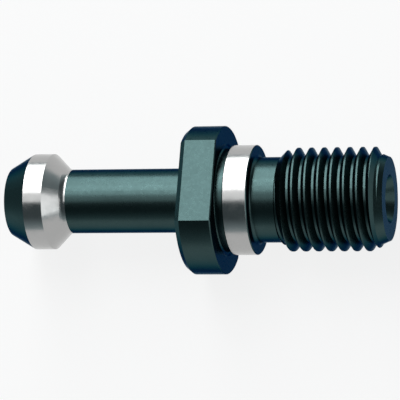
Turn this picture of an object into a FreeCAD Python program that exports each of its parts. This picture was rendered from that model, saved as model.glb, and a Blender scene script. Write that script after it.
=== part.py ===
"""Pull stud (retention knob) for a size 40 tool holder, 45 degree gripping cone, M16 shank.

One turned, ground and threaded piece. Millimetres. The stud's axis lies along X: the gripping head
points to -X and the thread to +X. X = 0 is the seat face of the collar, which bears on the holder.
The wrench flats face +Z and -Z, so the stud lies on its lower flat.
"""
import FreeCAD
import Part

import math
import os

# Lengths along the axis, each measured from the seat face unless it says otherwise.
HEAD_REACH = 34.7
GRIP_REACH = 27.9
LAND_LENGTH = 3.0
COLLAR_LENGTH = 5.7
GROOVE_LENGTH = 1.2
PILOT_REACH = 5.0
RELIEF_LENGTH = 3.8
SHANK_LENGTH = 25.6
LEAD_LENGTH = 1.85

# Diameters.
HEAD_DIAMETER = 15.0
NECK_DIAMETER = 10.0
COLLAR_DIAMETER = 23.0
GROOVE_DIAMETER = 16.0
PILOT_DIAMETER = 17.0
RELIEF_DIAMETER = 13.2
LEAD_DIAMETER = 14.0
END_DIAMETER = 12.9

# The cones of the gripping head, as angles from the axis.
NOSE_ANGLE = 30.0
GRIP_ANGLE = 45.0

# Wrench flats on the collar and the bevel round its head side.
ACROSS_FLATS = 19.0
BEVEL_LENGTH = 0.8
BEVEL_DEPTH = 0.65

# Inner and outer corners.
GRIP_FILLET = 1.3
COLLAR_FILLET = 0.8
GROOVE_FILLET = 0.35
FACE_UNDERCUT = 0.15
UNDERCUT_RUN = 0.25
RELIEF_FILLET = 0.5
EDGE_BREAK = 0.15
NOSE_EDGE_RADIUS = 0.3

# M16 x 2 right-hand thread.
THREAD_DIAMETER = 16.0
THREAD_PITCH = 2.0
FLANK_ANGLE = 30.0
LEAD_SHOULDER_ANGLE = 60.0
# The crest's flat as a share of the pitch, and the root's depth as a share of the sharp V's height.
CREST_FLAT_SHARE = 1 / 8
ROOT_DEPTH_SHARE = 17 / 24
# Turn from the upper flat, about +X, at which the thread's groove runs out through the end face.
THREAD_START_ANGLE = 131.0

# Centre hole in the thread's end, on which the stud is ground.
CENTRE_MOUTH_DIAMETER = 7.5
CENTRE_HOLE_DIAMETER = 3.2
CENTRE_CONE_ANGLE = 30.0
CENTRE_HOLE_DEPTH = 3.2
DRILL_POINT_ANGLE = 59.0

AXIS_POINT = FreeCAD.Vector(0, 0, 0)
AXIS = FreeCAD.Vector(1, 0, 0)


def slope(angle):
    """Radial rise for each millimetre along the axis, for a cone at this angle from the axis."""
    return math.tan(math.radians(angle))


def corner(x, radius, fillet=0.0):
    """One corner of the turned outline: its place along the axis, its radius and its rounding."""
    return FreeCAD.Vector(x, 0, radius), fillet


def head_outline():
    """Nose cone, ground land and 45 degree gripping cone, from the nose back to the neck."""
    land_front = -GRIP_REACH - LAND_LENGTH
    nose_length = HEAD_REACH - GRIP_REACH - LAND_LENGTH
    nose_radius = HEAD_DIAMETER / 2 - nose_length * slope(NOSE_ANGLE)
    grip_length = (HEAD_DIAMETER - NECK_DIAMETER) / 2 / slope(GRIP_ANGLE)
    return [
        corner(-HEAD_REACH, 0.0),
        corner(-HEAD_REACH, nose_radius, NOSE_EDGE_RADIUS),
        corner(land_front, HEAD_DIAMETER / 2),
        corner(-GRIP_REACH, HEAD_DIAMETER / 2),
        corner(-GRIP_REACH + grip_length, NECK_DIAMETER / 2, GRIP_FILLET),
    ]


def collar_outline():
    """Collar, from its fillet at the neck to the broken edge of the seat face."""
    radius = COLLAR_DIAMETER / 2
    return [
        corner(-COLLAR_LENGTH, NECK_DIAMETER / 2, COLLAR_FILLET),
        corner(-COLLAR_LENGTH, radius - BEVEL_DEPTH),
        corner(-COLLAR_LENGTH + BEVEL_LENGTH, radius),
        corner(-EDGE_BREAK, radius),
        corner(0.0, radius - EDGE_BREAK),
    ]


def groove_outline():
    """Undercut that lets the wheel grind both the pilot and the seat face to their corner."""
    mouth_radius = PILOT_DIAMETER / 2 + UNDERCUT_RUN
    return [
        corner(0.0, mouth_radius),
        corner(-FACE_UNDERCUT, mouth_radius - UNDERCUT_RUN),
        corner(-FACE_UNDERCUT, GROOVE_DIAMETER / 2, GROOVE_FILLET),
        corner(GROOVE_LENGTH, GROOVE_DIAMETER / 2),
    ]


def pilot_outline():
    """Ground cylinder that centres the stud in the holder."""
    radius = PILOT_DIAMETER / 2
    return [
        corner(GROOVE_LENGTH, radius - EDGE_BREAK),
        corner(GROOVE_LENGTH + EDGE_BREAK, radius),
        corner(PILOT_REACH - EDGE_BREAK, radius),
        corner(PILOT_REACH, radius - EDGE_BREAK),
    ]


def relief_outline():
    """Plain waist between the pilot and the thread, below the thread's root."""
    radius = RELIEF_DIAMETER / 2
    return [
        corner(PILOT_REACH, radius, RELIEF_FILLET),
        corner(PILOT_REACH + RELIEF_LENGTH, radius),
    ]


def thread_outline():
    """Blank of the thread at its full diameter, up a 45 degree slope and down to a tapered lead."""
    radius = THREAD_DIAMETER / 2
    lead_radius = LEAD_DIAMETER / 2
    relief_end = PILOT_REACH + RELIEF_LENGTH
    full_end = SHANK_LENGTH - LEAD_LENGTH
    shoulder_length = (radius - lead_radius) / slope(LEAD_SHOULDER_ANGLE)
    return [
        corner(relief_end + radius - RELIEF_DIAMETER / 2, radius),
        corner(full_end, radius),
        corner(full_end + shoulder_length, lead_radius),
        corner(SHANK_LENGTH, END_DIAMETER / 2),
    ]


def centre_hole_outline():
    """Countersunk centre hole, from its mouth in the end face to the drill's point on the axis."""
    mouth_radius = CENTRE_MOUTH_DIAMETER / 2
    hole_radius = CENTRE_HOLE_DIAMETER / 2
    cone_depth = (mouth_radius - hole_radius) / slope(CENTRE_CONE_ANGLE)
    hole_bottom = SHANK_LENGTH - cone_depth - CENTRE_HOLE_DEPTH
    return [
        corner(SHANK_LENGTH, mouth_radius),
        corner(SHANK_LENGTH - cone_depth, hole_radius),
        corner(hole_bottom, hole_radius),
        corner(hole_bottom - hole_radius / slope(DRILL_POINT_ANGLE), 0.0),
    ]


def rounded(before, point, after, fillet):
    """Where a corner's rounding starts, its middle and its end. It never takes over half of a wall."""
    to_before = before - point
    to_after = after - point
    half_angle = to_before.getAngle(to_after) / 2
    room = min(to_before.Length, to_after.Length) / 2
    tangent = min(fillet / math.tan(half_angle), room)
    radius = tangent * math.tan(half_angle)
    to_before.normalize()
    to_after.normalize()
    inward = to_before + to_after
    inward.normalize()
    middle = point + inward * (radius / math.sin(half_angle) - radius)
    return point + to_before * tangent, middle, point + to_after * tangent


def outline_wire(corners):
    """Closed wire through the corners: straight walls, with an arc at each rounded corner."""
    edges = []
    last = corners[0][0]
    for i, (point, fillet) in enumerate(corners[1:], start=1):
        if fillet > 0:
            after = corners[(i + 1) % len(corners)][0]
            start, middle, end = rounded(corners[i - 1][0], point, after, fillet)
            edges.append(Part.makeLine(last, start))
            edges.append(Part.Arc(start, middle, end).toShape())
            last = end
        else:
            edges.append(Part.makeLine(last, point))
            last = point
    edges.append(Part.makeLine(last, corners[0][0]))
    return Part.Wire(edges)


def turned_blank():
    """The whole turned body, with its centre hole, before the flats and the thread are cut."""
    corners = (
        head_outline()
        + collar_outline()
        + groove_outline()
        + pilot_outline()
        + relief_outline()
        + thread_outline()
        + centre_hole_outline()
    )
    return Part.Face(outline_wire(corners)).revolve(AXIS_POINT, AXIS, 360)


def flat_cutter():
    """What the mill takes off for the upper flat, with the collar's bevel and broken edge carried on."""
    flat_height = ACROSS_FLATS / 2
    beyond = COLLAR_DIAMETER
    profile = [
        FreeCAD.Vector(-COLLAR_LENGTH - EDGE_BREAK, 0, flat_height - BEVEL_DEPTH),
        FreeCAD.Vector(-COLLAR_LENGTH, 0, flat_height - BEVEL_DEPTH),
        FreeCAD.Vector(-COLLAR_LENGTH + BEVEL_LENGTH, 0, flat_height),
        FreeCAD.Vector(-EDGE_BREAK, 0, flat_height),
        FreeCAD.Vector(0, 0, flat_height - EDGE_BREAK),
        FreeCAD.Vector(EDGE_BREAK, 0, flat_height - EDGE_BREAK),
        FreeCAD.Vector(EDGE_BREAK, 0, beyond),
        FreeCAD.Vector(-COLLAR_LENGTH - EDGE_BREAK, 0, beyond),
    ]
    face = Part.Face(Part.makePolygon(profile + profile[:1]))
    face.translate(FreeCAD.Vector(0, -beyond / 2, 0))
    return face.extrude(FreeCAD.Vector(0, beyond, 0))


def wrench_flats():
    """Both flats' cutters, half a turn apart."""
    lower = flat_cutter()
    lower.rotate(AXIS_POINT, AXIS, 180)
    return [flat_cutter(), lower]


def groove_section():
    """Section of the thread's groove at +X, standing on Z: two flanks and the flat of the root."""
    sharp_height = THREAD_PITCH / 2 / slope(FLANK_ANGLE)
    crest_radius = THREAD_DIAMETER / 2
    root_radius = crest_radius - sharp_height * ROOT_DEPTH_SHARE
    half_crest_flat = THREAD_PITCH * CREST_FLAT_SHARE / 2
    # The section's mouth stands a little proud of the crest, by less than what would meet the next turn.
    overcut = half_crest_flat / 2 / slope(FLANK_ANGLE)
    half_mouth = THREAD_PITCH / 2 - half_crest_flat + overcut * slope(FLANK_ANGLE)
    half_root = half_mouth - (crest_radius + overcut - root_radius) * slope(FLANK_ANGLE)
    corners = [
        FreeCAD.Vector(crest_radius + overcut, 0, -half_mouth),
        FreeCAD.Vector(root_radius, 0, -half_root),
        FreeCAD.Vector(root_radius, 0, half_root),
        FreeCAD.Vector(crest_radius + overcut, 0, half_mouth),
    ]
    return Part.makePolygon(corners + corners[:1])


def helix(length):
    """Right-hand helix at the thread's pitch, rising along Z from +X, with one edge for each turn."""
    surface = Part.Cylinder()
    surface.Radius = THREAD_DIAMETER / 2
    turns = length / THREAD_PITCH
    edges = []
    for turn in range(math.ceil(turns)):
        last = min(turn + 1, turns)
        start = FreeCAD.Base.Vector2d(2 * math.pi * turn, THREAD_PITCH * turn)
        end = FreeCAD.Base.Vector2d(2 * math.pi * last, THREAD_PITCH * last)
        edges.append(Part.Geom2d.Line2dSegment(start, end).toShape(surface))
    return Part.Wire(edges)


def thread_groove():
    """The helical groove, from above the relief to past the end face."""
    start = PILOT_REACH + RELIEF_LENGTH / 2
    sweep = Part.BRepOffsetAPI.MakePipeShell(helix(SHANK_LENGTH + THREAD_PITCH - start))
    sweep.setFrenetMode(True)
    sweep.add(groove_section())
    sweep.build()
    sweep.makeSolid()
    groove = sweep.shape()
    # Tipped over, the groove runs along the stud from -Z, half a turn from the upper flat.
    groove.rotate(AXIS_POINT, FreeCAD.Vector(0, 1, 0), 90)
    groove.translate(FreeCAD.Vector(start, 0, 0))
    turns_to_end = (SHANK_LENGTH - start) / THREAD_PITCH
    groove.rotate(AXIS_POINT, AXIS, THREAD_START_ANGLE - 180 - 360 * turns_to_end)
    return groove


def pull_stud():
    """The finished stud: turned blank, less its wrench flats and its thread's groove."""
    return turned_blank().cut(wrench_flats()).cut(thread_groove())


def main():
    """Build the stud and write its STEP file."""
    os.makedirs("parts", exist_ok=True)
    stud = pull_stud()
    solid = stud.Solids[0]
    solid.exportStep("parts/pull_stud.step")
    centre = solid.CenterOfMass
    print(f"pull_stud: {len(stud.Solids)} solid, valid {solid.isValid()}, {len(solid.Faces)} faces")
    print(f"volume {solid.Volume:.1f} mm3, centre of mass {centre.x:.2f}, {centre.y:.3f}, {centre.z:.3f} mm")


if __name__ == "__main__":
    main()
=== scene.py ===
"""Dresses the pull stud: finishes on the CAD solid, a studio round it, and the viewing camera."""

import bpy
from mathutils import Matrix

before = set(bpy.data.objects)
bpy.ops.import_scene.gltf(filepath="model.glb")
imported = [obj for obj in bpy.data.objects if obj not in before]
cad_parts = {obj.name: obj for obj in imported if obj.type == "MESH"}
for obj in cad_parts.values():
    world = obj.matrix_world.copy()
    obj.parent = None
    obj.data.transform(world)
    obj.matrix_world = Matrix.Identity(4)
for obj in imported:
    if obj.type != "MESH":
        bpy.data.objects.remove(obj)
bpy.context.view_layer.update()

import logging
import math
from dataclasses import dataclass, field
from enum import Enum

import bpy
from mathutils import Matrix, Vector

log = logging.getLogger("pull_stud")

MILLIMETRE = 0.001

# The part of its range that a noise texture really fills.
NOISE_LOW = 0.3
NOISE_HIGH = 0.7

Socket = bpy.types.NodeSocket
Colour = tuple[float, float, float, float]


class Aim(Enum):
    """Where a lamp stands, as a direction out of the stud's middle."""

    OVERHEAD = (-0.25, 0.34, 0.91)
    BEHIND = (-0.25, 0.80, 0.54)
    FRONT = (-0.25, -0.12, 0.96)
    THREAD_SIDE = (0.93, -0.20, 0.30)


def linear(hex_colour: str) -> Colour:
    """Turns an sRGB colour into the linear one that the shaders take.

    Args:
        hex_colour: the colour as "#rrggbb".

    Returns:
        Red, green, blue and an alpha of 1, in linear light.
    """
    channels = [int(hex_colour[i : i + 2], 16) / 255 for i in (1, 3, 5)]
    curve = [c / 12.92 if c <= 0.04045 else ((c + 0.055) / 1.055) ** 2.4 for c in channels]
    return (curve[0], curve[1], curve[2], 1.0)


class Board:
    """A material's or the world's node tree, wired up from empty."""

    def __init__(self, owner: bpy.types.ID) -> None:
        """Empties the owner's tree.

        Args:
            owner: the material or world whose shader is built.
        """
        owner.use_nodes = True
        self.tree = owner.node_tree
        self.tree.nodes.clear()

    def add(
        self, kind: str, settings: dict[str, object] | None = None, **inputs: object
    ) -> bpy.types.Node:
        """Adds one node, sets it and links it.

        Args:
            kind: the node's type name, without the "ShaderNode" at its front.
            settings: properties of the node itself, by name.
            inputs: a value or an output socket for each input, by the input's name with
                underscores for spaces, or by its place as "at_0".

        Returns:
            The new node.
        """
        node = self.tree.nodes.new(f"ShaderNode{kind}")
        for name, value in (settings or {}).items():
            setattr(node, name, value)
        for name, value in inputs.items():
            place = int(name[3:]) if name.startswith("at_") else name.replace("_", " ")
            socket = node.inputs[place]
            if isinstance(value, bpy.types.NodeSocket):
                self.tree.links.new(value, socket)
            else:
                socket.default_value = value
        return node


@dataclass(frozen=True)
class BlackOxide:
    """Hot black oxide, oiled, over turned steel.

    The film is about a micron thick and follows the feed marks of the lathe. To the eye it is near
    black, with a soft teal sheen where it mirrors a lamp and a bluer one where it is seen edge on.
    """

    body: str = "#324343"
    worn: str = "#394c4c"
    edge: str = "#7c93a8"
    smooth: float = 0.26
    rough: float = 0.32
    turning_pitch_mm: float = 0.16
    turning_depth_mm: float = 0.0012
    # The film's own crystals are far finer. The mottle and the patches are drawn coarser to show.
    mottle_mm: float = 0.6
    patch_mm: float = 4.0
    mark_strength: float = 0.5

    def shader(self, board: Board, along: Socket, place: Socket) -> Socket:
        """Adds the finish to a material.

        Args:
            board: the material's nodes.
            along: socket with the distance along the axis, in mm.
            place: socket with the place on the stud, in mm.

        Returns:
            The shader's output socket.
        """
        rings = board.add(
            "TexNoise",
            {"noise_dimensions": "1D"},
            W=along,
            Scale=1 / self.turning_pitch_mm,
            Detail=2.0,
            Roughness=0.6,
        )
        mottle = board.add(
            "TexNoise", Vector=place, Scale=1 / self.mottle_mm, Detail=4.0, Roughness=0.6
        )
        patches = board.add(
            "TexNoise", Vector=place, Scale=1 / self.patch_mm, Detail=2.0, Roughness=0.5
        )
        colour = board.add(
            "Mix",
            {"data_type": "RGBA"},
            at_0=patches.outputs["Fac"],
            at_6=linear(self.body),
            at_7=linear(self.worn),
        )
        rough = board.add(
            "MapRange",
            Value=mottle.outputs["Fac"],
            From_Min=NOISE_LOW,
            From_Max=NOISE_HIGH,
            To_Min=self.smooth,
            To_Max=self.rough,
        )
        bump = board.add(
            "Bump",
            Strength=self.mark_strength,
            Distance=self.turning_depth_mm * MILLIMETRE,
            Height=rings.outputs["Fac"],
        )
        principled = board.add(
            "BsdfPrincipled",
            Base_Color=colour.outputs[2],
            Roughness=rough.outputs[0],
            Metallic=1.0,
            Specular_Tint=linear(self.edge),
            Normal=bump.outputs["Normal"],
        )
        return principled.outputs["BSDF"]


@dataclass(frozen=True)
class GroundSteel:
    """Hardened steel, ground between centres.

    The wheel leaves fine rings, so that the steel is a bright mirror which draws a lamp's image out
    along the stud and clouds it a little.
    """

    steel: str = "#a9a9a8"
    smooth: float = 0.16
    rough: float = 0.26
    # A wheel's rings are nearer 0.03 mm apart. These are drawn coarser to show.
    mark_pitch_mm: float = 0.09
    mark_depth_mm: float = 0.0010
    cloud_mm: float = 1.5
    mark_strength: float = 0.5

    def shader(self, board: Board, along: Socket, place: Socket) -> Socket:
        """Adds the finish to a material.

        Args:
            board: the material's nodes.
            along: socket with the distance along the axis, in mm.
            place: socket with the place on the stud, in mm.

        Returns:
            The shader's output socket.
        """
        marks = board.add(
            "TexNoise",
            {"noise_dimensions": "1D"},
            W=along,
            Scale=1 / self.mark_pitch_mm,
            Detail=3.0,
            Roughness=0.7,
        )
        cloud = board.add(
            "TexNoise", Vector=place, Scale=1 / self.cloud_mm, Detail=3.0, Roughness=0.6
        )
        rough = board.add(
            "MapRange",
            Value=cloud.outputs["Fac"],
            From_Min=NOISE_LOW,
            From_Max=NOISE_HIGH,
            To_Min=self.smooth,
            To_Max=self.rough,
        )
        bump = board.add(
            "Bump",
            Strength=self.mark_strength,
            Distance=self.mark_depth_mm * MILLIMETRE,
            Height=marks.outputs["Fac"],
        )
        principled = board.add(
            "BsdfPrincipled",
            Base_Color=linear(self.steel),
            Metallic=1.0,
            Roughness=rough.outputs[0],
            Normal=bump.outputs["Normal"],
        )
        return principled.outputs["BSDF"]


@dataclass
class PullStud:
    """The stud itself: one solid, black all over but for its two ground places."""

    # The land with the gripping cone and its fillet, and the pilot's cylinder, along the axis.
    head_ground_mm: tuple[float, float] = (-30.9, -24.86)
    pilot_ground_mm: tuple[float, float] = (1.22, 4.86)
    oxide: BlackOxide = field(default_factory=BlackOxide)
    ground: GroundSteel = field(default_factory=GroundSteel)

    def between(self, board: Board, along: Socket, span: tuple[float, float]) -> Socket:
        """Adds a mask that is 1 inside a length of the stud.

        Args:
            board: the material's nodes.
            along: socket with the distance along the axis, in mm.
            span: both ends of the length, in mm.

        Returns:
            The mask's output socket.
        """
        past = board.add("Math", {"operation": "GREATER_THAN"}, at_0=along, at_1=span[0])
        short = board.add("Math", {"operation": "LESS_THAN"}, at_0=along, at_1=span[1])
        both = board.add(
            "Math", {"operation": "MULTIPLY"}, at_0=past.outputs[0], at_1=short.outputs[0]
        )
        return both.outputs[0]

    def material(self) -> bpy.types.Material:
        """Makes the stud's material.

        Returns:
            One material that is black oxide with bright ground places.
        """
        material = bpy.data.materials.new("oxide_and_ground_steel")
        board = Board(material)
        where = board.add("TexCoord")
        place = board.add(
            "VectorMath",
            {"operation": "SCALE"},
            Vector=where.outputs["Object"],
            Scale=1 / MILLIMETRE,
        )
        split = board.add("SeparateXYZ", Vector=place.outputs[0])
        along = split.outputs["X"]
        head = self.between(board, along, self.head_ground_mm)
        pilot = self.between(board, along, self.pilot_ground_mm)
        bright = board.add("Math", {"operation": "MAXIMUM"}, at_0=head, at_1=pilot)
        mix = board.add(
            "MixShader",
            Fac=bright.outputs[0],
            at_1=self.oxide.shader(board, along, place.outputs[0]),
            at_2=self.ground.shader(board, along, place.outputs[0]),
        )
        board.add("OutputMaterial", Surface=mix.outputs[0])
        return material

    def build(self) -> None:
        """Puts the material on the CAD solid."""
        node = bpy.data.objects["pull_stud"]
        material = self.material()
        for place in node.material_slots:
            place.material = material
        log.info("pull_stud: %d faces, %s", len(node.data.polygons), material.name)


@dataclass
class SoftBox:
    """A rectangular lamp that faces the stud, with its sides along and round the stud's axis."""

    name: str
    aim: Aim
    distance: float
    along_stud: float
    round_stud: float
    radiance: float

    def build(self) -> None:
        """Makes the lamp and turns it to the stud's middle."""
        lamp = bpy.data.lights.new(self.name, "AREA")
        lamp.shape = "RECTANGLE"
        lamp.size = self.along_stud
        lamp.size_y = self.round_stud
        lamp.energy = self.radiance * math.pi * self.along_stud * self.round_stud
        holder = bpy.data.objects.new(self.name, lamp)
        bpy.context.scene.collection.objects.link(holder)
        out = Vector(self.aim.value).normalized()
        side = Vector((1, 0, 0)) - out * out.x
        side.normalize()
        turn = Matrix((side, out.cross(side), out)).transposed()
        holder.matrix_world = Matrix.Translation(out * self.distance) @ turn.to_4x4()
        holder.visible_camera = False
        log.info("%s: %.2f by %.2f m", self.name, self.along_stud, self.round_stud)


@dataclass
class Studio:
    """A pale floor under the stud, four soft lamps and a dim room."""

    floor_height_mm: float = -9.5
    floor_width: float = 6.0
    floor_colour: str = "#f1f2f2"
    # Share of plain white in what the camera, metal and glass see of the floor.
    floor_glow: float = 0.84
    # Paper's fibres are too fine to show, so this tooth is drawn coarser.
    paper_tooth_mm: float = 6.7
    paper_relief_mm: float = 0.1
    paper_relief_strength: float = 0.1
    room_colour: str = "#4a5558"
    horizon_colour: str = "#a3b4b8"
    # A direction that rises this much or more sees the room's own colour.
    room_from: float = 0.5
    lamps: tuple[SoftBox, ...] = (
        SoftBox("lamp_overhead", Aim.OVERHEAD, 0.60, 0.21, 0.32, 5.6),
        SoftBox("lamp_behind", Aim.BEHIND, 0.60, 0.21, 0.50, 5.6),
        SoftBox("lamp_front", Aim.FRONT, 0.60, 0.30, 0.26, 1.4),
        SoftBox("lamp_thread_side", Aim.THREAD_SIDE, 0.60, 0.40, 0.40, 1.6),
    )

    def floor(self) -> None:
        """Lays the floor, with its top where the stud's lower flat is."""
        bpy.ops.object.select_all(action="DESELECT")
        bpy.ops.mesh.primitive_plane_add(size=self.floor_width)
        plane = bpy.context.object
        plane.name = "floor"
        plane.location = (0, 0, self.floor_height_mm * MILLIMETRE)
        material = bpy.data.materials.new("pale_paper")
        board = Board(material)
        where = board.add("TexCoord")
        tooth = board.add(
            "TexNoise",
            Vector=where.outputs["Object"],
            Scale=1 / (self.paper_tooth_mm * MILLIMETRE),
            Detail=3.0,
        )
        bump = board.add(
            "Bump",
            Strength=self.paper_relief_strength,
            Distance=self.paper_relief_mm * MILLIMETRE,
            Height=tooth.outputs["Fac"],
        )
        paper = board.add(
            "BsdfDiffuse", Color=linear(self.floor_colour), Normal=bump.outputs["Normal"]
        )
        white = board.add("Emission", Color=(1.0, 1.0, 1.0, 1.0), Strength=1.0)
        path = board.add("LightPath")
        mirrored = board.add(
            "Math",
            {"operation": "ADD"},
            at_0=path.outputs["Is Glossy Ray"],
            at_1=path.outputs["Is Transmission Ray"],
        )
        seen = board.add(
            "Math",
            {"operation": "ADD", "use_clamp": True},
            at_0=path.outputs["Is Camera Ray"],
            at_1=mirrored.outputs[0],
        )
        share = board.add(
            "Math", {"operation": "MULTIPLY"}, at_0=seen.outputs[0], at_1=self.floor_glow
        )
        mix = board.add(
            "MixShader", Fac=share.outputs[0], at_1=paper.outputs[0], at_2=white.outputs[0]
        )
        board.add("OutputMaterial", Surface=mix.outputs[0])
        plane.data.materials.append(material)

    def room(self) -> None:
        """Gives the world the colour of the dim room, paler towards the horizon."""
        world = bpy.data.worlds.new("room")
        bpy.context.scene.world = world
        board = Board(world)
        where = board.add("TexCoord")
        split = board.add("SeparateXYZ", Vector=where.outputs["Generated"])
        height = board.add(
            "MapRange", Value=split.outputs["Z"], From_Min=0.0, From_Max=self.room_from
        )
        colour = board.add(
            "Mix",
            {"data_type": "RGBA"},
            at_0=height.outputs[0],
            at_6=linear(self.horizon_colour),
            at_7=linear(self.room_colour),
        )
        light = board.add("Background", Color=colour.outputs[2], Strength=1.0)
        board.add("OutputWorld", Surface=light.outputs[0])

    def build(self) -> None:
        """Makes the floor, the room and the lamps."""
        self.floor()
        self.room()
        for lamp in self.lamps:
            lamp.build()
        view = bpy.context.scene.view_settings
        view.view_transform = "Standard"


@dataclass
class ViewingCamera:
    """A long lens from above, with the thread's end turned a little nearer."""

    sensor_mm: float = 36.0
    lens_mm: float = 252.3
    distance_mm: float = 434.1
    yaw: float = 14.79
    flat_tilt: float = 19.05
    roll: float = 0.487
    shift_mm: tuple[float, float] = (4.232, -0.029)
    clip: tuple[float, float] = (0.01, 20.0)

    def build(self) -> None:
        """Makes the camera and gives it to the scene."""
        yaw = math.radians(self.yaw)
        tilt = math.radians(self.flat_tilt)
        roll = math.radians(self.roll)
        turned = math.sin(yaw)
        right = Vector((math.cos(yaw), math.sin(tilt) * turned, -math.cos(tilt) * turned))
        up = Vector((0, math.cos(tilt), math.sin(tilt)))
        back = right.cross(up)
        right, up = (
            right * math.cos(roll) - up * math.sin(roll),
            right * math.sin(roll) + up * math.cos(roll),
        )
        data = bpy.data.cameras.new("viewing_camera")
        data.sensor_width = self.sensor_mm
        data.lens = self.lens_mm
        data.clip_start, data.clip_end = self.clip
        camera = bpy.data.objects.new("viewing_camera", data)
        bpy.context.scene.collection.objects.link(camera)
        stand = back * self.distance_mm - right * self.shift_mm[0] - up * self.shift_mm[1]
        turn = Matrix((right, up, back)).transposed()
        camera.matrix_world = Matrix.Translation(stand * MILLIMETRE) @ turn.to_4x4()
        bpy.context.scene.camera = camera
        log.info("viewing_camera: %.0f mm away", self.distance_mm)


def main() -> None:
    """Builds the stud's finish, the studio and the camera."""
    logging.basicConfig(level=logging.INFO, format="%(name)s %(message)s")
    PullStud().build()
    Studio().build()
    ViewingCamera().build()


if __name__ == "__main__":
    main()
